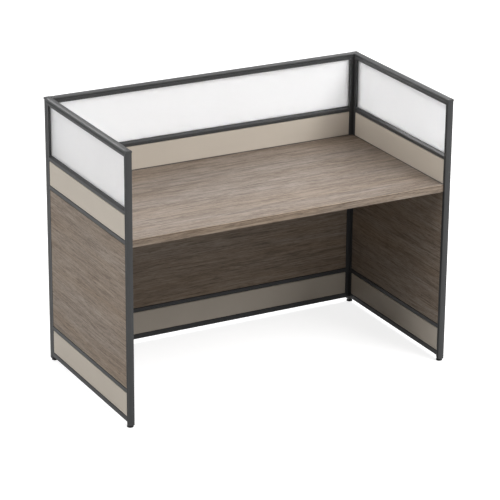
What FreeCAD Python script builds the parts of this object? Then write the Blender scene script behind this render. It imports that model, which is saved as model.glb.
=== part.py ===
"""Office workstation desk: three framed screens in a U with a desktop between them.

Millimetres. X runs along the width, +Y to the back screen, +Z up.
The origin is on the floor, in the middle of the footprint.
"""
import FreeCAD, Part
import math
import os

Vector = FreeCAD.Vector

# Overall size, taken over the crowns of the outer covers
width = 1400.0
depth = 740.0
height = 1100.0

# Levels, floor up
post_floor_gap = 9.0
rail_floor_gap = 22.0
kick_tile_top = 140.0
desk_height = 750.0
upper_tile_bay = 102.0

# Screen frame extrusions
frame_thickness = 26.0
extrusion_wall = 1.4
extrusion_edge = 0.8
stem_reach = 14.0
rail_stem_reach = 12.0
support_stem_reach = 46.0
stile_face = 16.0
bottom_rail_face = 20.0
tile_rail_face = 16.0
mid_rail_face = 13.0
mid_bead_rise = 7.0
top_rail_face = 16.0
cover_groove = 4.0
cover_groove_depth = 3.0
shadow_groove = 1.2

# Clip-on covers
top_cap_height = 9.0
cover_crown = 1.2
cover_edge = 3.0
cover_wall = 1.4
cover_lip = 3.0
end_trim_depth = 6.0
corner_trim_depth = 6.0
corner_round = 6.0
end_cap_drop = 0.4
end_cap_edge = 2.0
end_cap_inset = 0.3

# Tiles and glass
tile_thickness = 7.0
tile_recess = 0.5
tile_gap = 2.2
tile_edge = 0.5
glass_thickness = 5.0
glass_bite = 6.0
gasket_show = 0.8
gasket_back = 1.0

# Corner posts
post_wall = 1.5

# Desktop
desktop_thickness = 30.0
desktop_set_back = 10.0
desktop_clearance = 1.0
edge_band_thickness = 2.0
edge_band_round = 1.5

# Desktop supports
bracket_sheet = 2.5
bracket_leg = 40.0
bracket_flange = 50.0
bracket_length = 60.0
bracket_bend = 2.5
side_bracket_front = 140.0
side_bracket_back = 140.0
back_bracket_inset = 240.0

# Fasteners and their holes
screw_diameter = 4.2
screw_length = 18.0
screw_head_flats = 7.0
screw_head_height = 2.8
bolt_diameter = 5.0
bolt_head_flats = 8.0
bolt_head_height = 3.5
bolt_end_margin = 160.0
bolts_per_joint = 2
shank_sides = 12
hole_play = 0.1

# Levelling feet
foot_diameter = 26.0
foot_pad_height = 5.0
foot_edge = 1.2
foot_hex = 13.0
stud_diameter = 8.0
stud_length = 24.0
insert_height = 25.0
front_foot_inset = 15.0

# One overrun serves every cut
overrun = 1.0

half_frame = frame_thickness / 2
half_neck = half_frame - cover_groove_depth
mid_rail_underside = desk_height + upper_tile_bay
half_stem = half_frame - tile_recess - tile_thickness
slot_half = half_stem - extrusion_wall
lower_rail_top = kick_tile_top + tile_rail_face
upper_rail_underside = desk_height - tile_rail_face
bottom_rail_top = rail_floor_gap + bottom_rail_face
mid_rail_shoulder = mid_rail_underside + mid_rail_face
mid_rail_top = mid_rail_shoulder + mid_bead_rise
cap_seat = height - top_cap_height
top_rail_underside = cap_seat - top_rail_face
side_length = depth - frame_thickness
back_length = width - 2 * frame_thickness
front_stile_face = stile_face - end_trim_depth
stud_hole = stud_diameter + hole_play
screw_hole = screw_diameter + hole_play
bolt_hole = bolt_diameter + hole_play

os.makedirs("parts", exist_ok=True)


def save(name, shape):
    """Writes one piece, or one group of like pieces, under its name."""
    shape.exportStep("parts/" + name + ".step")


def box(x0, x1, y0, y1, z0, z1):
    return Part.makeBox(x1 - x0, y1 - y0, z1 - z0, Vector(x0, y0, z0))


def flat(point):
    return Vector(point[0], point[1], 0)


def outline(points, rounded=True):
    """Closed face through points (a, b); a point with a third value is rounded or bevelled."""
    corners = []
    for i, point in enumerate(points):
        here = flat(point)
        if len(point) == 2:
            corners.append((here, None, here))
            continue
        back = (flat(points[i - 1]) - here).normalize()
        on = (flat(points[(i + 1) % len(points)]) - here).normalize()
        half_angle = back.getAngle(on) / 2
        reach = point[2] / math.tan(half_angle)
        to_arc = point[2] / math.sin(half_angle) - point[2]
        middle = here + (back + on).normalize() * to_arc
        corners.append((here + back * reach, middle, here + on * reach))
    edges = []
    for i, (start, middle, end) in enumerate(corners):
        if middle and rounded:
            edges.append(Part.Arc(start, middle, end).toShape())
        elif middle:
            edges.append(Part.LineSegment(start, end).toShape())
        edges.append(Part.LineSegment(end, corners[(i + 1) % len(corners)][0]).toShape())
    return Part.Face(Part.Wire(edges))


def mirrored_outline(right_side):
    """Outline from its right-hand points, listed upwards, and their mirror image."""
    left_side = [(-point[0],) + tuple(point[1:]) for point in reversed(right_side)]
    return outline(right_side + left_side, rounded=False)


def along_z(face, z0, z1):
    """Bar whose section lies in plan."""
    bar = face.extrude(Vector(0, 0, z1 - z0))
    bar.translate(Vector(0, 0, z0))
    return bar


def along_x(face, x0, x1):
    """Bar along X whose section has a across it, as Y, and b up, as Z."""
    bar = face.extrude(Vector(0, 0, x1 - x0))
    turn = FreeCAD.Matrix(0, 0, 1, x0, 1, 0, 0, 0, 0, 1, 0, 0, 0, 0, 0, 1)
    return bar.transformGeometry(turn)


def hollow(face, wall):
    return face.cut(face.makeOffset2D(-wall, 2))


def cover_face(across, deep, crown, edge):
    """Section of a clip-on cover: flat back, crowned front, rounded edges."""
    shoulder = deep - crown
    half = across / 2
    lean = edge * (1 - math.sqrt(0.5))
    edges = [
        Part.LineSegment(Vector(half, 0, 0), Vector(half, shoulder - edge, 0)),
        Part.Arc(
            Vector(half, shoulder - edge, 0),
            Vector(half - lean, shoulder - lean, 0),
            Vector(half - edge, shoulder, 0),
        ),
        Part.Arc(
            Vector(half - edge, shoulder, 0),
            Vector(0, deep, 0),
            Vector(edge - half, shoulder, 0),
        ),
        Part.Arc(
            Vector(edge - half, shoulder, 0),
            Vector(lean - half, shoulder - lean, 0),
            Vector(-half, shoulder - edge, 0),
        ),
        Part.LineSegment(Vector(-half, shoulder - edge, 0), Vector(-half, 0, 0)),
        Part.LineSegment(Vector(-half, 0, 0), Vector(half, 0, 0)),
    ]
    return Part.Face(Part.Wire([edge.toShape() for edge in edges]))


def cover_shell(across, deep, crown, edge, wall):
    """Cover section, open at the flat back between two lips that seat on the frame."""
    inside = cover_face(across - 2 * wall, deep - wall, crown, edge - wall / 2)
    rim = across / 2 - wall
    for side in (-1, 1):
        root, tip = side * rim, side * (rim - cover_lip)
        inside = inside.cut(outline([(tip, 0), (root, 0), (root, wall), (tip, wall)]))
    return cover_face(across, deep, crown, edge).cut(inside)


def corner_cover_face(inset):
    """L-shaped cover round the outer corner of a post, its corner near the origin."""
    far = frame_thickness - inset
    line = cover_crown + inset
    radius = corner_round - line
    edge = cover_edge - inset / 2
    lean = edge * (1 - math.sqrt(0.5))
    bow = corner_round - radius * math.sqrt(0.5)
    peak = (frame_thickness + corner_round) / 2
    edges = [
        Part.LineSegment(Vector(corner_trim_depth, far, 0), Vector(line + edge, far, 0)),
        Part.Arc(
            Vector(line + edge, far, 0),
            Vector(line + lean, far - lean, 0),
            Vector(line, far - edge, 0),
        ),
        Part.Arc(
            Vector(line, far - edge, 0),
            Vector(inset, peak, 0),
            Vector(line, corner_round, 0),
        ),
        Part.Arc(
            Vector(line, corner_round, 0),
            Vector(bow, bow, 0),
            Vector(corner_round, line, 0),
        ),
        Part.Arc(
            Vector(corner_round, line, 0),
            Vector(peak, inset, 0),
            Vector(far - edge, line, 0),
        ),
        Part.Arc(
            Vector(far - edge, line, 0),
            Vector(far - lean, line + lean, 0),
            Vector(far, line + edge, 0),
        ),
        Part.LineSegment(Vector(far, line + edge, 0), Vector(far, corner_trim_depth, 0)),
        Part.LineSegment(
            Vector(far, corner_trim_depth, 0),
            Vector(corner_trim_depth, corner_trim_depth, 0),
        ),
        Part.LineSegment(
            Vector(corner_trim_depth, corner_trim_depth, 0),
            Vector(corner_trim_depth, far, 0),
        ),
    ]
    return Part.Face(Part.Wire([edge.toShape() for edge in edges]))


def cylinder(diameter, length, start, direction):
    return Part.makeCylinder(diameter / 2, length, start, direction)


def sided_bar(across_flats, sides, length, start, direction):
    """Prism of equal sides along a direction."""
    corner = across_flats / 2 / math.cos(math.pi / sides)
    turns = [2 * math.pi * i / sides for i in range(sides)]
    face = outline([(corner * math.cos(turn), corner * math.sin(turn)) for turn in turns])
    bar = face.extrude(Vector(0, 0, length))
    bar.Placement = FreeCAD.Placement(start, FreeCAD.Rotation(Vector(0, 0, 1), direction))
    return bar


def hexagon_bar(across_flats, length, start, direction):
    """Hexagon of a nut or a screw head."""
    return sided_bar(across_flats, 6, length, start, direction)


def shank(diameter, length, start, direction):
    """Shank of a small fastener, or its hole. Its few flat sides keep these many pieces light."""
    return sided_bar(diameter, shank_sides, length, start, direction)


# Bolts hold each stile to the post beside it: shank through both walls, a head at each side.
bolt_span = cap_seat - rail_floor_gap - 2 * bolt_end_margin
bolt_levels = [
    rail_floor_gap + bolt_end_margin + bolt_span * i / (bolts_per_joint - 1)
    for i in range(bolts_per_joint)
]
bolt_grip = post_wall + extrusion_wall


def bolt(level):
    """Bolt along X through the wall of a post and the wall of a stile."""
    start = Vector(frame_thickness - post_wall, half_frame, level)
    along = Vector(1, 0, 0)
    grip = shank(bolt_diameter, bolt_grip, start, along)
    head = hexagon_bar(bolt_head_flats, bolt_head_height, start, -along)
    nut = hexagon_bar(bolt_head_flats, bolt_head_height, start + along * bolt_grip, along)
    return grip.fuse([head, nut]).removeSplitter()


def bolt_bore(across_line, level):
    """Clearance hole for one bolt, through a wall that stands square to X."""
    start = Vector(-frame_thickness, across_line, level)
    return shank(bolt_hole, frame_thickness + extrusion_wall + overrun, start, Vector(1, 0, 0))


# A screen is built lying along X, from 0 to its length, with its outer face at +Y.
# Left and right screens are turned into place, and the right one is a mirror image.


def stile_outline(face_width, start):
    """T section: a neck that leaves a shadow groove beside the cover or the post, a
    full-thickness head, and a stem that the tiles are seated over."""
    shoulder = start + cover_groove
    head = start + face_width
    tip = head + stem_reach
    return outline(
        [
            (start, -half_neck),
            (shoulder, -half_neck),
            (shoulder, -half_frame, extrusion_edge),
            (head, -half_frame, extrusion_edge),
            (head, -half_stem),
            (tip, -half_stem),
            (tip, half_stem),
            (head, half_stem),
            (head, half_frame, extrusion_edge),
            (shoulder, half_frame, extrusion_edge),
            (shoulder, half_neck),
            (start, half_neck),
        ]
    )


def stile_cavity(face_width, start):
    return stile_outline(face_width, start).makeOffset2D(-extrusion_wall, 2)


def stile(face_width, start, foot):
    """Upright of a screen, its stem cut away beside the glass, which leaves a glazing slot."""
    section = hollow(stile_outline(face_width, start), extrusion_wall)
    bar = along_z(section, foot, top_rail_underside)
    head = start + face_width
    notch = box(
        head,
        head + stem_reach + overrun,
        -half_frame,
        half_frame,
        mid_rail_underside,
        top_rail_underside + overrun,
    )
    bar = bar.cut(notch)
    if start:
        return bar
    for level in bolt_levels:
        bar = bar.cut(bolt_bore(0, level))
    return bar


def flipped(shape, length):
    """The same piece at the other end of a screen."""
    return shape.mirror(Vector(length / 2, 0, 0), Vector(1, 0, 0))


def rail(face, start, end):
    """Rail between two stiles, cut back at its ends to pass round their stems."""
    bar = along_x(face, start, end)
    for x0, x1 in ((start - overrun, start + stem_reach), (end - stem_reach, end + overrun)):
        bar = bar.cut(box(x0, x1, -half_stem, half_stem, 0, mid_rail_underside))
    return bar


def bottom_rail_section():
    """Bottom rail with a shadow groove under the tiles and a stem between them."""
    groove_foot = bottom_rail_top - shadow_groove
    face = mirrored_outline(
        [
            (half_frame, rail_floor_gap, extrusion_edge),
            (half_frame, groove_foot),
            (half_frame - shadow_groove, groove_foot),
            (half_frame - shadow_groove, bottom_rail_top),
            (half_stem, bottom_rail_top),
            (half_stem, bottom_rail_top + rail_stem_reach),
        ]
    )
    return hollow(face, extrusion_wall)


def tile_rail_section(underside, stem_below):
    """Thin rail with a stem above and below, seen as a strip between two rows of tiles."""
    top = underside + tile_rail_face
    face = mirrored_outline(
        [
            (half_stem, underside - stem_below),
            (half_stem, underside),
            (half_frame, underside, extrusion_edge),
            (half_frame, top, extrusion_edge),
            (half_stem, top),
            (half_stem, top + rail_stem_reach),
        ]
    )
    return hollow(face, extrusion_wall)


def mid_rail_section():
    """Sill of the glass bay: plain face, sloped bead up to the glass, stem below."""
    face = mirrored_outline(
        [
            (half_stem, mid_rail_underside - rail_stem_reach),
            (half_stem, mid_rail_underside),
            (half_frame, mid_rail_underside, extrusion_edge),
            (half_frame, mid_rail_shoulder, extrusion_edge),
            (half_stem, mid_rail_top, extrusion_edge),
        ]
    )
    slot = outline(
        [
            (slot_half, mid_rail_shoulder),
            (slot_half, mid_rail_top + overrun),
            (-slot_half, mid_rail_top + overrun),
            (-slot_half, mid_rail_shoulder),
        ]
    )
    return hollow(face, extrusion_wall).cut(slot)


def top_rail_section():
    """Head rail: a face with a shadow groove above it, under the cap, and a glazing slot
    below."""
    face_head = cap_seat - cover_groove
    face = mirrored_outline(
        [
            (half_frame, top_rail_underside, extrusion_edge),
            (half_frame, face_head, extrusion_edge),
            (half_neck, face_head),
            (half_neck, cap_seat),
        ]
    )
    slot = outline(
        [
            (slot_half, top_rail_underside - overrun),
            (slot_half, top_rail_underside + 2 * extrusion_wall),
            (-slot_half, top_rail_underside + 2 * extrusion_wall),
            (-slot_half, top_rail_underside - overrun),
        ]
    )
    return hollow(face, extrusion_wall).cut(slot)


def tile(start, end, underside, top, side):
    """Tile seated over the stems, side 1 on the outer face and -1 on the inner face."""
    shown = half_frame - tile_recess
    seat, front = sorted((side * half_stem, side * shown))
    board = box(
        start + tile_gap, end - tile_gap, seat, front, underside + tile_gap, top - tile_gap
    )
    rim = [
        edge
        for edge in board.Edges
        if all(abs(vertex.Y - side * shown) < tile_edge / 2 for vertex in edge.Vertexes)
    ]
    return board.makeChamfer(tile_edge, rim)


def screen(length, start_face, start, start_foot):
    """The pieces of one screen by name, in the screen's own frame."""
    bay = start + start_face
    bay_end = length - stile_face
    pieces = {}
    pieces["start_stile"] = stile(start_face, start, start_foot)
    pieces["end_stile"] = flipped(stile(stile_face, 0, rail_floor_gap), length)
    pieces["bottom_rail"] = rail(bottom_rail_section(), bay, bay_end)
    pieces["tile_rails"] = Part.makeCompound(
        [
            rail(tile_rail_section(kick_tile_top, rail_stem_reach), bay, bay_end),
            rail(tile_rail_section(upper_rail_underside, support_stem_reach), bay, bay_end),
        ]
    )
    pieces["mid_rail"] = rail(mid_rail_section(), bay, bay_end)
    pieces["top_rail"] = along_x(top_rail_section(), start, length)
    cap = along_x(
        cover_shell(frame_thickness, top_cap_height, cover_crown, cover_edge, cover_wall),
        bay if start else 0,
        length,
    )
    cap.translate(Vector(0, 0, cap_seat))
    pieces["top_cap"] = cap
    pieces["glass"] = box(
        bay - glass_bite,
        bay_end + glass_bite,
        -glass_thickness / 2,
        glass_thickness / 2,
        mid_rail_top - glass_bite,
        top_rail_underside + glass_bite,
    )
    rows = {
        "upper_tile": (desk_height, mid_rail_underside),
        "middle_tile": (lower_rail_top, upper_rail_underside),
        "kick_tile": (bottom_rail_top, kick_tile_top),
    }
    for row, (underside, top) in rows.items():
        pieces["outer_" + row] = tile(bay, bay_end, underside, top, 1)
        pieces["inner_" + row] = tile(bay, bay_end, underside, top, -1)
    pieces["gasket"] = gasket(bay, bay_end, pieces["glass"])
    return pieces


def gasket(bay, bay_end, glass):
    """Soft glazing gasket, a ring round the glass in the slots of the frame."""
    back = glass_bite + gasket_back
    ring = box(
        bay - back,
        bay_end + back,
        -slot_half,
        slot_half,
        mid_rail_top - back,
        top_rail_underside + back,
    )
    window = box(
        bay + gasket_show,
        bay_end - gasket_show,
        -half_frame,
        half_frame,
        mid_rail_top + gasket_show,
        top_rail_underside - gasket_show,
    )
    return ring.cut(window).cut(glass)


def place_back(shape):
    moved = shape.copy()
    moved.translate(Vector(-back_length / 2, depth / 2 - half_frame, 0))
    return moved


def place_left(shape):
    moved = shape.copy()
    moved.rotate(Vector(0, 0, 0), Vector(0, 0, 1), 90)
    moved.translate(Vector(half_frame - width / 2, -depth / 2, 0))
    return moved


def across(shape):
    """Mirror image on the other side of the desk."""
    return shape.mirror(Vector(0, 0, 0), Vector(1, 0, 0))


def place_right(shape):
    return across(place_left(shape))


# Desktop supports: each bracket is screwed through the inner tile into the deep stem of the
# rail at desk height, and up into the board.
bracket_top = desk_height - desktop_thickness
bracket_face = -(half_frame - tile_recess)
leg_screw_drop = bracket_leg / 2


def bracket(middle):
    """Angle bracket, its leg on the inner tile and its flange under the desktop."""
    outside = bracket_bend + bracket_sheet
    face = outline(
        [
            (bracket_face, bracket_top - bracket_leg),
            (bracket_face, bracket_top, outside),
            (bracket_face - bracket_flange, bracket_top),
            (bracket_face - bracket_flange, bracket_top - bracket_sheet),
            (bracket_face - bracket_sheet, bracket_top - bracket_sheet, bracket_bend),
            (bracket_face - bracket_sheet, bracket_top - bracket_leg),
        ]
    )
    start = middle - bracket_length / 2
    plate = along_x(face, start, start + bracket_length)
    for screw in bracket_screw_lines(middle):
        plate = plate.cut(drill(screw, screw_hole))
    return plate


def bracket_screw_lines(middle):
    """Place and direction of the leg screw and the flange screw, from under their heads."""
    leg = Vector(middle, bracket_face - bracket_sheet, bracket_top - leg_screw_drop)
    flange_middle = bracket_face - bracket_flange / 2
    flange = Vector(middle, flange_middle, bracket_top - bracket_sheet)
    return [(leg, Vector(0, 1, 0)), (flange, Vector(0, 0, 1))]


def drill(line, diameter):
    start, direction = line
    return shank(diameter, screw_length + overrun, start - direction * overrun / 2, direction)


def screw(line):
    """Hexagon-head tapping screw."""
    start, direction = line
    body = shank(screw_diameter, screw_length, start, direction)
    head = hexagon_bar(screw_head_flats, screw_head_height, start, -direction)
    return body.fuse(head).removeSplitter()


back_screen = screen(back_length, stile_face, 0, rail_floor_gap)
side_screen = screen(side_length, front_stile_face, end_trim_depth, post_floor_gap)
back_brackets = (back_bracket_inset, back_length - back_bracket_inset)
side_brackets = (side_bracket_front, side_length - side_bracket_back)

supports = {"desk_brackets": [], "bracket_screws": []}
desk_holes = []
for pieces, middles, places in (
    (back_screen, back_brackets, (place_back,)),
    (side_screen, side_brackets, (place_left, place_right)),
):
    for middle in middles:
        for line in bracket_screw_lines(middle):
            hole = drill(line, screw_hole)
            for name in ("inner_middle_tile", "tile_rails"):
                pieces[name] = pieces[name].cut(hole)
            for place in places:
                supports["bracket_screws"].append(place(screw(line)))
                desk_holes.append(place(hole))
        for place in places:
            supports["desk_brackets"].append(place(bracket(middle)))

# Corner posts: a square tube in the inner corner of its cell, with an L-shaped cover outside
post_core = frame_thickness - corner_trim_depth
post_centre = corner_trim_depth + post_core / 2
post_section = hollow(
    outline(
        [
            (corner_trim_depth, corner_trim_depth),
            (frame_thickness, corner_trim_depth),
            (frame_thickness, frame_thickness, extrusion_edge),
            (corner_trim_depth, frame_thickness),
        ]
    ),
    post_wall,
)
corner_post = along_z(post_section, post_floor_gap, cap_seat)
corner_trim = along_z(
    corner_cover_face(0).cut(corner_cover_face(cover_wall)), post_floor_gap, cap_seat
)


def swapped(shape):
    """The same piece with its two plan directions changed over."""
    return shape.mirror(Vector(0, 0, 0), Vector(1, -1, 0).normalize())


def place_corner(shape):
    """From a corner cell, whose outer corner is at zero, to the back left corner of the desk."""
    moved = shape.mirror(Vector(0, 0, 0), Vector(0, 1, 0))
    moved.translate(Vector(-width / 2, depth / 2, 0))
    return moved


for level in bolt_levels:
    bore = bolt_bore(half_frame, level)
    bore.translate(Vector(frame_thickness, 0, 0))
    corner_post = corner_post.cut(bore.common(box(post_centre, width, 0, depth, 0, height)))
    corner_post = corner_post.cut(swapped(bore).common(box(0, width, post_centre, depth, 0, height)))

joint_bolts = []
for level in bolt_levels:
    for piece in (bolt(level), swapped(bolt(level))):
        joint_bolts += [place_corner(piece), across(place_corner(piece))]

# Front ends: a crowned cover clipped over each front stile
end_trim = along_z(
    cover_shell(frame_thickness, end_trim_depth, cover_crown, cover_edge, cover_wall),
    post_floor_gap,
    cap_seat,
)
end_trim.rotate(Vector(0, 0, 0), Vector(0, 0, 1), 90)
end_trim.translate(Vector(end_trim_depth, 0, 0))


def end_cap(x0, x1, y0, y1):
    """Flat cap over the end of an upright, its top edges broken."""
    plate = box(
        x0 + end_cap_inset,
        x1,
        y0 + end_cap_inset,
        y1 - (end_cap_inset if y0 < 0 else 0),
        cap_seat,
        height - end_cap_drop,
    )
    rim = [e for e in plate.Edges if all(v.Z > cap_seat + end_cap_edge for v in e.Vertexes)]
    return plate.makeChamfer(end_cap_edge, rim)


front_cap = end_cap(0, end_trim_depth + front_stile_face, -half_frame, half_frame)
corner_cap = end_cap(0, frame_thickness, 0, frame_thickness)
end_caps = [
    place_left(front_cap),
    place_right(front_cap),
    place_corner(corner_cap),
    across(place_corner(corner_cap)),
]

# Levelling feet: a stud in the insert of each post, with a pad and an adjusting hexagon below


def levelling_foot(x, y):
    pad = cylinder(foot_diameter, foot_pad_height, Vector(x, y, 0), Vector(0, 0, 1))
    upper_rim = [edge for edge in pad.Edges if edge.Closed and edge.CenterOfMass.z > foot_edge]
    pad = pad.makeChamfer(foot_edge, upper_rim)
    nut_height = post_floor_gap - foot_pad_height
    nut = hexagon_bar(foot_hex, nut_height, Vector(x, y, foot_pad_height), Vector(0, 0, 1))
    stud = cylinder(stud_diameter, stud_length, Vector(x, y, post_floor_gap), Vector(0, 0, 1))
    return pad.fuse([nut, stud]).removeSplitter()


def stud_bore(x, y):
    start = Vector(x, y, post_floor_gap - overrun)
    return cylinder(stud_hole, insert_height + 2 * overrun, start, Vector(0, 0, 1))


insert_top = post_floor_gap + insert_height
front_insert = along_z(
    stile_cavity(front_stile_face, end_trim_depth), post_floor_gap, insert_top
).cut(stud_bore(front_foot_inset, 0))
corner_insert = box(
    corner_trim_depth + post_wall,
    frame_thickness - post_wall,
    corner_trim_depth + post_wall,
    frame_thickness - post_wall,
    post_floor_gap,
    insert_top,
).cut(stud_bore(post_centre, post_centre))
foot_inserts = [
    place_left(front_insert),
    place_right(front_insert),
    place_corner(corner_insert),
    across(place_corner(corner_insert)),
]
front_foot = place_left(levelling_foot(front_foot_inset, 0))
back_foot = place_corner(levelling_foot(post_centre, post_centre))

# Desktop: a board on the brackets, with an edge band along its front
desk_half = width / 2 - frame_thickness - desktop_clearance
desk_front = desktop_set_back - depth / 2
board_front = desk_front + edge_band_thickness
board_back = depth / 2 - frame_thickness - desktop_clearance
board = box(-desk_half, desk_half, board_front, board_back, bracket_top, desk_height)
for hole in desk_holes:
    board = board.cut(hole)
band_section = outline(
    [
        (board_front, bracket_top),
        (board_front, desk_height),
        (desk_front, desk_height, edge_band_round),
        (desk_front, bracket_top, edge_band_round),
    ]
)
edge_band = along_x(band_section, -desk_half, desk_half)

# Write each piece
side_names = {"start_stile": "front_stile", "end_stile": "rear_stile"}
back_names = {"start_stile": "left_stile", "end_stile": "right_stile"}
for side, pieces, place, names in (
    ("left", side_screen, place_left, side_names),
    ("back", back_screen, place_back, back_names),
    ("right", side_screen, place_right, side_names),
):
    for name, piece in pieces.items():
        if name == "gasket" or name.endswith("kick_tile"):
            continue
        save(side + "_screen_" + names.get(name, name), place(piece))
    kick_tiles = [place(pieces["outer_kick_tile"]), place(pieces["inner_kick_tile"])]
    save(side + "_screen_kick_tiles", Part.makeCompound(kick_tiles))

gaskets = [
    place_left(side_screen["gasket"]),
    place_back(back_screen["gasket"]),
    place_right(side_screen["gasket"]),
]
save("glazing_gaskets", Part.makeCompound(gaskets))
save("left_corner_post", place_corner(corner_post))
save("right_corner_post", across(place_corner(corner_post)))
save("left_corner_trim", place_corner(corner_trim))
save("right_corner_trim", across(place_corner(corner_trim)))
save("left_front_end_trim", place_left(end_trim))
save("right_front_end_trim", place_right(end_trim))
save("top_end_caps", Part.makeCompound(end_caps))
save("screen_joint_bolts", Part.makeCompound(joint_bolts))
save("foot_inserts", Part.makeCompound(foot_inserts))
save("front_left_foot", front_foot)
save("front_right_foot", across(front_foot))
save("back_left_foot", back_foot)
save("back_right_foot", across(back_foot))
save("desktop_board", board)
save("desktop_edge_band", edge_band)
for name, solids in supports.items():
    save(name, Part.makeCompound(solids))
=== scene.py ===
import math

import bmesh
import bpy
from mathutils import Matrix, Quaternion, Vector


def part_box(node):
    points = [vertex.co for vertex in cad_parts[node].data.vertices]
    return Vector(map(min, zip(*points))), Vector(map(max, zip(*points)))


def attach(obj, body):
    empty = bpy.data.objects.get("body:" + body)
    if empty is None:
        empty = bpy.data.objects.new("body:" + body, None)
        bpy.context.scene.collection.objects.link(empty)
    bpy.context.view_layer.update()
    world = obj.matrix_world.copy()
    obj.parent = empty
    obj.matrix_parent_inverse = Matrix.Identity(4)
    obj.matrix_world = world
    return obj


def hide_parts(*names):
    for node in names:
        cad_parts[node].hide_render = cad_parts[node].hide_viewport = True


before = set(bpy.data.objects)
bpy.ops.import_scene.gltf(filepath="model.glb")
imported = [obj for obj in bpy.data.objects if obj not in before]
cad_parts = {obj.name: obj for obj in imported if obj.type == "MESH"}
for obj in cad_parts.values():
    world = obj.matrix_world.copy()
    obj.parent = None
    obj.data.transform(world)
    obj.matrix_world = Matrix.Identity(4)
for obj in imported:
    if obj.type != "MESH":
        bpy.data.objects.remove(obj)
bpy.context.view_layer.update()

# Levelling feet
# A black nylon pad with a hexagon to turn it by, moulded on a blackened steel stud. The stud runs
# in the insert of the post above, so each foot is a moving body and has its real thread here.


def new_finish(name):
    """An empty finish: its surface shader is made last, by surface()."""
    finish = bpy.data.materials.new(name)
    finish.use_nodes = True
    finish.node_tree.nodes.clear()
    return finish


def step(finish, kind, inputs=None, **settings):
    """Adds one node. Inputs are values or other nodes' outputs; settings are its properties."""
    made = finish.node_tree.nodes.new("ShaderNode" + kind)
    for name, value in settings.items():
        setattr(made, name, value)
    for socket, value in (inputs or {}).items():
        if isinstance(value, bpy.types.NodeSocket):
            finish.node_tree.links.new(value, made.inputs[socket])
        else:
            made.inputs[socket].default_value = value
    return made


def surface(finish, inputs):
    """The finish's shader and output. Inputs are those of the Principled shader."""
    shader = step(finish, "BsdfPrincipled", inputs)
    step(finish, "OutputMaterial", {"Surface": shader.outputs["BSDF"]})
    return finish


def place_on(finish, scale=(1, 1, 1), shift=(0, 0, 0)):
    """A point of the piece, stretched and shifted for the next texture."""
    here = step(finish, "TexCoord").outputs["Object"]
    inputs = {"Vector": here, "Scale": scale, "Location": shift}
    return step(finish, "Mapping", inputs).outputs["Vector"]


def speckle(finish, place, scale, detail=2.0, roughness=0.5, waver=0.0):
    """Noise from 0 to 1 over the piece."""
    inputs = {"Vector": place, "Scale": scale, "Detail": detail, "Roughness": roughness}
    inputs["Distortion"] = waver
    return step(finish, "TexNoise", inputs).outputs["Fac"]


def shades(finish, value, stops):
    """Turns a value into colour, by stops of place and linear colour."""
    made = step(finish, "ValToRGB", {"Fac": value})
    ramp = made.color_ramp
    while len(ramp.elements) < len(stops):
        ramp.elements.new(0.5)
    for element, (place, colour) in zip(ramp.elements, stops):
        element.position = place
        element.color = (*colour, 1)
    return made.outputs["Color"]


def uneven(finish, value, colour, low, high):
    """A colour that drifts between two shares of itself."""
    ends = ((0.3, low), (0.7, high))
    stops = [(place, tuple(part * share for part in colour)) for place, share in ends]
    return shades(finish, value, stops)


def bump(finish, height, strength, distance):
    """A fine relief. The distance is its depth in metres."""
    inputs = {"Height": height, "Strength": strength, "Distance": distance}
    return step(finish, "Bump", inputs).outputs["Normal"]


def new_object(name, mesh, finish):
    """Turns a bmesh into an object with one finish."""
    data = bpy.data.meshes.new(name)
    mesh.to_mesh(data)
    mesh.free()
    data.materials.append(finish)
    made = bpy.data.objects.new(name, data)
    bpy.context.collection.objects.link(made)
    return made


def dress(nodes, finish):
    """Gives one finish to CAD nodes whose shape is right as it is."""
    for node in nodes:
        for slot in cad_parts[node].material_slots:
            slot.material = finish


nylon_black = (0.016, 0.016, 0.017)
nylon = new_finish("black_nylon")
nylon_grain = speckle(nylon, place_on(nylon), scale=900.0)
surface(
    nylon,
    {
        "Base Color": uneven(nylon, nylon_grain, nylon_black, low=1.0, high=1.6),
        "Roughness": 0.46,
        "Normal": bump(nylon, nylon_grain, strength=0.25, distance=0.0002),
    },
)

pad_profile = [(0.0, 0.0), (0.0120, 0.0), (0.0130, 0.0009), (0.0130, 0.0028), (0.0122, 0.0040)]
pad_profile += [(0.0092, 0.0050), (0.0, 0.0050)]
pad_steps = 48
weld_gap = 1e-6


def turn_pad(mesh):
    """The round pad, turned from its profile of radius and height."""
    rim = [mesh.verts.new((radius, 0, height)) for radius, height in pad_profile]
    edges = [mesh.edges.new(pair) for pair in zip(rim, rim[1:])]
    bmesh.ops.spin(
        mesh,
        geom=rim + edges,
        cent=(0, 0, 0),
        axis=(0, 0, 1),
        angle=2 * math.pi,
        steps=pad_steps,
        use_merge=True,
    )
    bmesh.ops.remove_doubles(mesh, verts=mesh.verts, dist=weld_gap)


hexagon_sides = 6
hexagon_flats = 0.013
hexagon_low = 0.0050
hexagon_high = 0.0090
hexagon_bevel = 0.0005
hexagon_bevel_steps = 2


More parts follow.
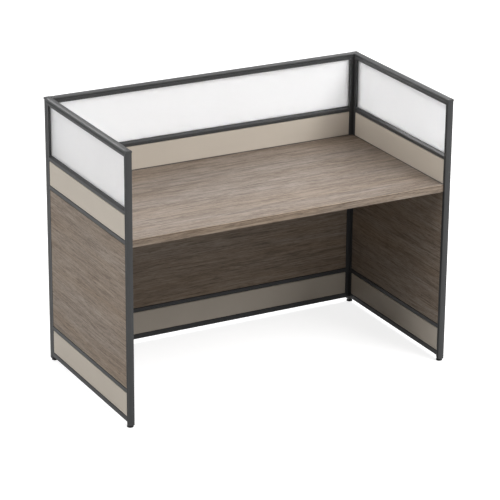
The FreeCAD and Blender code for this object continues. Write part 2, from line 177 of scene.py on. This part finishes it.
def raise_hexagon(mesh):
    """The hexagon on the pad, with its upright edges eased."""
    corner = hexagon_flats / math.sqrt(3)
    nut = bmesh.ops.create_circle(mesh, cap_ends=True, segments=hexagon_sides, radius=corner)
    bmesh.ops.translate(mesh, verts=nut["verts"], vec=(0, 0, hexagon_low))
    raised = bmesh.ops.extrude_face_region(mesh, geom=[nut["verts"][0].link_faces[0]])
    top = [item for item in raised["geom"] if isinstance(item, bmesh.types.BMVert)]
    bmesh.ops.translate(mesh, verts=top, vec=(0, 0, hexagon_high - hexagon_low))
    upright = [
        edge for vert in top for edge in vert.link_edges
        if abs(edge.verts[0].co.z - edge.verts[1].co.z) > hexagon_bevel
    ]
    bmesh.ops.bevel(
        mesh,
        geom=upright,
        offset=hexagon_bevel,
        segments=hexagon_bevel_steps,
        profile=0.5,
        affect="EDGES",
        material=-1,
    )


stud_sides = 24
stud_core = 0.0033
stud_crest = 0.00395
stud_top = 0.0330
thread_pitch = 0.00125
thread_steps = 14
root_share = 0.44
crest_share = 0.06


def wind_stud(mesh):
    """The stud: a core with a ridge that winds round it once per pitch."""
    stud_length = stud_top - hexagon_high
    bmesh.ops.create_cone(
        mesh,
        cap_ends=True,
        segments=stud_sides,
        radius1=stud_core,
        radius2=stud_core,
        depth=stud_length,
        matrix=Matrix.Translation((0, 0, hexagon_high + stud_length / 2)),
    )
    inside = stud_core - (stud_crest - stud_core) / 2
    flank = [(inside, -root_share), (stud_crest, -crest_share)]
    flank += [(stud_crest, crest_share), (inside, root_share)]
    start = hexagon_high + thread_pitch / 2
    ridge = [mesh.verts.new((r, 0, start + share * thread_pitch)) for r, share in flank]
    edges = [mesh.edges.new(pair) for pair in zip(ridge, ridge[1:])]
    turns = int((stud_length - thread_pitch) / thread_pitch)
    bmesh.ops.spin(
        mesh,
        geom=ridge + edges,
        cent=(0, 0, 0),
        axis=(0, 0, 1),
        dvec=(0, 0, thread_pitch / thread_steps),
        angle=2 * math.pi * turns,
        steps=thread_steps * turns,
    )


for foot in ("front_left_foot", "front_right_foot", "back_left_foot", "back_right_foot"):
    foot_mesh = bmesh.new()
    turn_pad(foot_mesh)
    raise_hexagon(foot_mesh)
    wind_stud(foot_mesh)
    bmesh.ops.recalc_face_normals(foot_mesh, faces=foot_mesh.faces)
    low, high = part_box(foot)
    middle = (low + high) / 2
    bmesh.ops.translate(foot_mesh, verts=foot_mesh.verts, vec=(middle.x, middle.y, 0))
    piece = new_object(foot + "_threaded", foot_mesh, nylon)
    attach(piece, foot)
    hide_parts(foot)

dress(["foot_inserts"], nylon)

# Frame extrusions
# Stiles, rails and corner posts: hollow aluminium sections cut to length and powder-coated
# dark grey, with a faint orange-peel texture in the coat.

coat_grey = (0.058, 0.059, 0.060)
gloss_drift = 0.04


def powder_coat(name, roughness, shine):
    """The grey coat, whose tone and gloss drift a little over a piece."""
    coat = new_finish(name)
    place = place_on(coat)
    peel = speckle(coat, place, scale=1400.0, detail=1.0)
    drift = speckle(coat, place, scale=6.0, detail=3.0)
    ends = {"To Min": roughness - gloss_drift, "To Max": roughness + gloss_drift}
    gloss = step(coat, "MapRange", {"Value": drift, **ends})
    return surface(
        coat,
        {
            "Base Color": uneven(coat, drift, coat_grey, low=0.93, high=1.07),
            "Roughness": gloss.outputs["Result"],
            "Normal": bump(coat, peel, strength=0.12, distance=0.0001),
            "Specular IOR Level": shine,
        },
    )


frame_coat = powder_coat("frame_powder_coat", roughness=0.38, shine=0.3)
screens = ("left_screen_", "back_screen_", "right_screen_")
extrusion_parts = ("_stile", "bottom_rail", "tile_rails", "mid_rail", "top_rail")
extrusions = [
    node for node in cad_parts
    if node.endswith("_corner_post")
    or (node.startswith(screens) and node.endswith(extrusion_parts))
]
dress(extrusions, frame_coat)

# Covers
# Clip-on aluminium covers over the top rails, the front ends and the corner posts, and the flat
# caps on the posts. They have a slightly glossier coat than the frame.

cover_coat = powder_coat("cover_powder_coat", roughness=0.36, shine=0.42)
covers = [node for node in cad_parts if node.endswith(("_top_cap", "_trim"))]
dress(covers + ["top_end_caps"], cover_coat)

# Glass
# Panes of 5 mm glass, frosted white, set in the slots of the frame and held there by a black
# rubber gasket all round.

pane_white = (0.955, 0.955, 0.96)
pane_glass = new_finish("frosted_glass")
pane_cloud = speckle(pane_glass, place_on(pane_glass), scale=5.0, detail=3.0)
pane_frost = speckle(pane_glass, place_on(pane_glass), scale=1500.0, detail=1.0)
surface(
    pane_glass,
    {
        "Base Color": uneven(pane_glass, pane_cloud, pane_white, low=0.985, high=1.0),
        "Roughness": 1.0,
        "IOR": 1.45,
        "Transmission Weight": 0.6,
        "Normal": bump(pane_glass, pane_frost, strength=0.15, distance=0.0001),
    },
)
dress([screen + "glass" for screen in screens], pane_glass)

gasket_black = (0.02, 0.02, 0.021)
gasket_rubber = new_finish("gasket_rubber")
gasket_grain = speckle(gasket_rubber, place_on(gasket_rubber), scale=700.0)
surface(
    gasket_rubber,
    {
        "Base Color": uneven(gasket_rubber, gasket_grain, gasket_black, low=1.0, high=1.5),
        "Roughness": 0.7,
        "Normal": bump(gasket_rubber, gasket_grain, strength=0.2, distance=0.0002),
    },
)
dress(["glazing_gaskets"], gasket_rubber)

# Beige tiles
# Boards with a plain warm beige laminate, seated over the stems of the frame above the desk and
# along the floor, outside and inside. The laminate has a very fine pebbled surface.

beige = (0.640, 0.575, 0.492)
beige_laminate = new_finish("beige_laminate")
beige_cloud = speckle(beige_laminate, place_on(beige_laminate), scale=4.0, detail=4.0)
beige_pebble = speckle(beige_laminate, place_on(beige_laminate), scale=650.0)
surface(
    beige_laminate,
    {
        "Base Color": uneven(beige_laminate, beige_cloud, beige, low=0.97, high=1.03),
        "Roughness": 0.5,
        "Specular IOR Level": 0.25,
        "Normal": bump(beige_laminate, beige_pebble, strength=0.1, distance=0.0001),
    },
)
beige_parts = ("outer_upper_tile", "inner_upper_tile", "kick_tiles")
dress([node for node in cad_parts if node.endswith(beige_parts)], beige_laminate)

# Wood-look tiles
# The tall tiles have a grey-brown oak laminate whose grain runs along the screen. Each screen is
# cut from another part of the sheet, so the figure differs from tile to tile.

oak_dark = (0.170, 0.131, 0.102)
oak_middle = (0.285, 0.230, 0.185)
oak_light = (0.384, 0.320, 0.264)
oak_pore = (0.120, 0.090, 0.068)
oak_warm = (0.93, 0.87, 0.79)
oak_cool = (1.0, 0.995, 0.985)
oak_reach = 0.10


def mixed(finish, factor, first, second, how="MIX"):
    """Blends two colours. The node's sockets go by number, because their names repeat."""
    inputs = {0: factor, 6: first, 7: second}
    return step(finish, "Mix", inputs, data_type="RGBA", blend_type=how).outputs[2]


def dyed(colour, dye):
    """One colour seen through another."""
    return tuple(part * share for part, share in zip(colour, dye))


def arithmetic(finish, operation, first, second):
    """One sum with two values."""
    return step(finish, "Math", {0: first, 1: second}, operation=operation).outputs["Value"]


def oak_laminate(name, along_x, shift, dye=(1, 1, 1), contrast=1.0, shading=None):
    """Printed oak: broad figure, streaks along the grain, fine fibres and dark pores."""
    oak = new_finish(name)

    def grain(along, across, detail, roughness=0.55, waver=0.0):
        scale = (along, across, across) if along_x else (across, along, across)
        return speckle(oak, place_on(oak, scale, shift), 1.0, detail, roughness, waver)

    figure = grain(along=1.1, across=9.0, detail=3.0, waver=0.6)
    band = grain(along=1.6, across=20.0, detail=2.0, waver=0.8)
    streak = grain(along=5.0, across=110.0, detail=2.0, roughness=0.6, waver=0.7)
    line = grain(along=12.0, across=300.0, detail=2.0, roughness=0.6, waver=0.5)
    fibre = grain(along=50.0, across=900.0, detail=1.0)
    fleck = grain(along=36.0, across=260.0, detail=1.0)
    value = 0.0
    for layer, share in ((band, 0.12), (streak, 0.30), (line, 0.35), (fibre, 0.23)):
        value = arithmetic(oak, "ADD", value, arithmetic(oak, "MULTIPLY", layer, share))
    reach = oak_reach / contrast
    stops = [
        (0.5 - reach, dyed(oak_dark, dye)),
        (0.5, dyed(oak_middle, dye)),
        (0.5 + reach, dyed(oak_light, dye)),
    ]
    hue = shades(oak, figure, [(0.36, oak_warm), (0.62, oak_cool)])
    wood = mixed(oak, 1.0, shades(oak, value, stops), hue, "MULTIPLY")
    pores = shades(oak, fleck, [(0.62, (0, 0, 0)), (0.72, (0.5, 0.5, 0.5))])
    colour = mixed(oak, pores, wood, (*dyed(oak_pore, dye), 1))
    # An optional pattern multiplied into the colour: for the edge band, its dark core line and a
    # painted highlight on the arris.
    if shading:
        colour = mixed(oak, 1.0, colour, shading(oak), "MULTIPLY")
    return surface(
        oak,
        {
            "Base Color": colour,
            "Roughness": 0.5,
            "Specular IOR Level": 0.25,
            "Normal": bump(oak, fibre, strength=0.15, distance=0.00015),
        },
    )


for screen, along_x, shift in (
    ("left_screen_", False, (0.3, 1.7, 0.0)),
    ("back_screen_", True, (2.1, 0.4, 0.8)),
    ("right_screen_", False, (1.2, 3.9, 0.5)),
):
    tile_oak = oak_laminate(screen + "oak", along_x, shift)
    dress([screen + "outer_middle_tile", screen + "inner_middle_tile"], tile_oak)

# Desktop
# A 30 mm board with the same oak laminate, its grain running across the desk, and an edge band
# glued along the front, over which the dark core of the top laminate shows as a fine line, with a
# painted highlight on the rounded arris above it.

desk_dye = (0.87, 0.885, 0.925)
desk_oak = oak_laminate("desktop_oak", True, (0.6, 5.2, 0.1), desk_dye, contrast=1.5)
dress(["desktop_board"], desk_oak)

band_dye = (1.30, 1.30, 1.30)
band_face = (0.84, 0.84, 0.84)
core_dark = (0.42, 0.40, 0.38)
# A painted highlight along the top arris of the band, lighter than its face.
painted_arris_highlight = (1, 1, 1)
core_and_arris_depth = 0.0045
band_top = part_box("desktop_edge_band")[1]
band_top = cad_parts["desktop_edge_band"].matrix_world.inverted() @ band_top


def core_line_and_painted_arris(finish):
    """The plain face of the band, then the dark core, then a painted highlight on the arris above
    it.
    """
    here = step(finish, "TexCoord").outputs["Object"]
    height = step(finish, "SeparateXYZ", {"Vector": here}).outputs["Z"]
    height = arithmetic(finish, "SUBTRACT", height, band_top.z - core_and_arris_depth)
    share = arithmetic(finish, "DIVIDE", height, core_and_arris_depth)
    # The last stop is the painted highlight on the arris; the dark stops are the laminate's real
    # core.
    stops = [(0.0, band_face), (0.1, core_dark), (0.5, core_dark), (0.6, painted_arris_highlight)]
    return shades(finish, share, stops)


band_oak = oak_laminate("edge_band_oak", True, (4.4, 1.1, 2.3), band_dye, shading=core_line_and_painted_arris)
dress(["desktop_edge_band"], band_oak)

# Brackets and fasteners
# Pressed steel angles under the desktop, coated like the frame, with zinc-plated screws, and the
# zinc-plated bolts inside the screen joints.

zinc = (0.55, 0.56, 0.57)
zinc_plate = new_finish("zinc_plate")
zinc_cloud = speckle(zinc_plate, place_on(zinc_plate), scale=260.0, detail=3.0)
surface(
    zinc_plate,
    {
        "Base Color": uneven(zinc_plate, zinc_cloud, zinc, low=0.85, high=1.0),
        "Metallic": 1.0,
        "Roughness": 0.34,
    },
)
dress(["bracket_screws", "screen_joint_bolts"], zinc_plate)
dress(["desk_brackets"], frame_coat)

# Floor and backdrop
# A pale studio floor that keeps a faint soft shadow, and a white backdrop all round. Both look
# white to the camera, and give the desk only as much light as a real studio would.

mirror_share = 0.35


def shown_directly(finish):
    """1 for what the camera sees, also through glass, less in a reflection and 0 for light."""
    path = step(finish, "LightPath").outputs
    seen = arithmetic(finish, "MAXIMUM", path["Is Camera Ray"], path["Is Transmission Ray"])
    mirrored = arithmetic(finish, "MULTIPLY", path["Is Glossy Ray"], mirror_share)
    seen = arithmetic(finish, "MAXIMUM", seen, mirrored)
    unscattered = arithmetic(finish, "SUBTRACT", seen, path["Diffuse Depth"])
    return arithmetic(finish, "MAXIMUM", unscattered, 0.0)


floor_side = 60.0
floor_grey = (0.47, 0.47, 0.47)
floor_glow = 0.82
floor_finish = new_finish("studio_floor")
floor_glow_seen = arithmetic(floor_finish, "MULTIPLY", shown_directly(floor_finish), floor_glow)
surface(
    floor_finish,
    {
        "Base Color": (*floor_grey, 1),
        "Roughness": 0.9,
        "Emission Color": (1, 1, 1, 1),
        "Emission Strength": floor_glow_seen,
    },
)
floor_mesh = bmesh.new()
bmesh.ops.create_grid(floor_mesh, x_segments=1, y_segments=1, size=floor_side / 2)
floor = new_object("floor", floor_mesh, floor_finish)

backdrop_light = 0.03
backdrop_glow = 1.0
world = bpy.data.worlds.new("studio")
bpy.context.scene.world = world
world.use_nodes = True
world.node_tree.nodes.clear()
backdrop_ends = {"To Min": backdrop_light, "To Max": backdrop_glow}
backdrop = step(world, "MapRange", {"Value": shown_directly(world), **backdrop_ends})
sky = step(world, "Background", {"Color": (1, 1, 1, 1), "Strength": backdrop.outputs["Result"]})
step(world, "OutputWorld", {"Surface": sky.outputs["Background"]})

# Lamps
# Six square soft lamps, all turned to the middle of the desk: the key in front on the right, a
# fill on the left, two behind for the caps and the panes, and weak ones in front and on top.

lamp_aim = Vector((0, 0, 0.6))
for name, place, side, power in (
    ("key_light", (2.6, -3.7, 4.7), 2.4, 278.0),
    ("front_fill", (0.0, -5.8, 2.6), 2.4, 31.0),
    ("left_fill", (-5.1, -0.4, 2.5), 2.4, 120.0),
    ("back_light", (-0.5, 4.2, 4.6), 2.4, 146.0),
    ("right_light", (3.8, 2.2, 4.2), 2.4, 185.0),
    ("top_light", (0.0, 0.0, 5.0), 3.4, 28.0),
):
    lamp_data = bpy.data.lights.new(name, "AREA")
    lamp_data.shape = "SQUARE"
    lamp_data.size = side
    lamp_data.energy = power
    lamp = bpy.data.objects.new(name, lamp_data)
    bpy.context.collection.objects.link(lamp)
    lamp.location = place
    lamp.rotation_mode = "QUATERNION"
    lamp.rotation_quaternion = (lamp_aim - Vector(place)).to_track_quat("-Z", "Y")

# Camera
# It stands in front on the left and looks down on the desk with a long lens. Place, angles and
# focal length come from a fit to the edges of the screens and the desktop in the photograph.

picture_side = 500
focal_pixels = 2388.0
sensor_width = 36.0
camera_place = Vector((-4.1603, -7.7554, 3.8550))
camera_azimuth = math.radians(-28.27)
camera_elevation = math.radians(21.03)
camera_roll = math.radians(0.438)
camera_back = Vector(
    (
        math.sin(camera_azimuth) * math.cos(camera_elevation),
        -math.cos(camera_azimuth) * math.cos(camera_elevation),
        math.sin(camera_elevation),
    )
)
camera_data = bpy.data.cameras.new("camera")
camera_data.sensor_width = sensor_width
camera_data.lens = focal_pixels / picture_side * sensor_width
camera_data.clip_end = 200.0
camera = bpy.data.objects.new("camera", camera_data)
bpy.context.collection.objects.link(camera)
camera.location = camera_place
camera.rotation_mode = "QUATERNION"
level = (-camera_back).to_track_quat("-Z", "Y")
camera.rotation_quaternion = level @ Quaternion((0, 0, 1), camera_roll)
bpy.context.scene.camera = camera
bpy.context.scene.view_settings.view_transform = "Standard"
